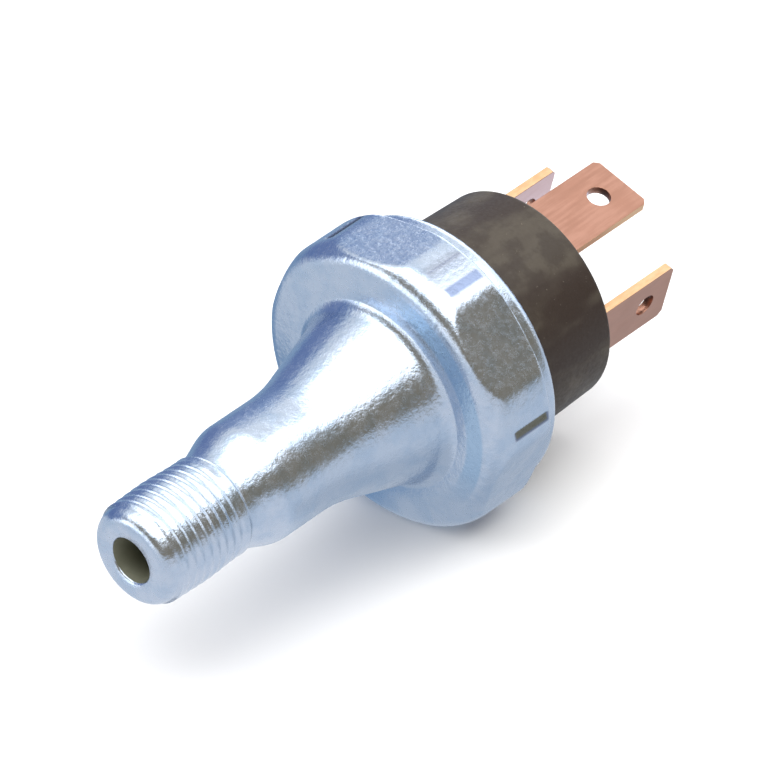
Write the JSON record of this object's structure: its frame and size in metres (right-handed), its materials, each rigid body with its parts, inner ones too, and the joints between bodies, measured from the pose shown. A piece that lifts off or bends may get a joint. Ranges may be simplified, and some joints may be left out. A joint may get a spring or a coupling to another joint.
{
  "type": "pressure switch",
  "caption": "Threaded steel pressure switch with a hexagonal body, crimped moulded base, diaphragm, change-over leaf contact and push-on blade terminals.",
  "frame": {"origin": "centre of the pressure port's end face, which is the small end of the pipe thread", "axes": "+X along the axis from the port to the blades, +Z square to one wrench flat, +Y completes the right-handed frame"},
  "size_m": [0.0613, 0.0284, 0.027],
  "materials": {
    "zinc_plated_steel": "bright clear zinc plate, slightly blue",
    "seal_rubber": "matt black rubber",
    "diaphragm_film": "amber film",
    "bare_steel": "turned steel",
    "laminate": "brown paper laminate",
    "insulator": "natural moulded plastic",
    "brass": "turned brass",
    "spring_steel": "drawn wire",
    "potting": "black potting compound",
    "phenolic": "dark brown phenolic moulding with a fine grain",
    "copper_strip": "rolled copper alloy strip, satin",
    "spring_bronze": "rolled phosphor bronze",
    "contact_silver": "silver alloy"
  },
  "bodies": {
    "root": {"housing": "zinc_plated_steel", "seal_ring": "seal_rubber", "diaphragm": "diaphragm_film", "clamp_ring": "bare_steel", "guide_plate": "laminate", "calibration_spring": "spring_steel", "adjusting_screw": "bare_steel", "threaded_insert": "brass", "seal_plug": "potting", "base": "phenolic", "terminal_common": "copper_strip", "terminal_nc": "copper_strip", "terminal_no": "copper_strip", "fixed_contact_nc": "contact_silver", "fixed_contact_no": "contact_silver", "arm_rivets": "brass"},
    "plunger": {"plunger": "insulator", "pressure_plate": "bare_steel", "spring_seat": "brass"},
    "contact_arm": {"contact_arm": "spring_bronze", "moving_contact": "contact_silver"}
  },
  "joints": [
    {"name": "plunger_slide", "type": "slide", "parent": "root", "child": "plunger", "axis": [1, 0, 0], "range_m": [0, 0.0004], "stiffness_N_per_m": 730, "springref_m": -0.003, "deforming": ["calibration_spring", "diaphragm"]},
    {"name": "arm_swing", "type": "hinge", "parent": "root", "child": "contact_arm", "pos_m": [0.04009, -0.00146, 0.00329], "axis": [0, -0.9135, -0.4067], "range_deg": [0, 6.4], "deforming": ["contact_arm"]}
  ],
  "couplings": [
    {"joint": "arm_swing", "follows": "plunger_slide", "rad_per_m": 277.78}
  ]
}
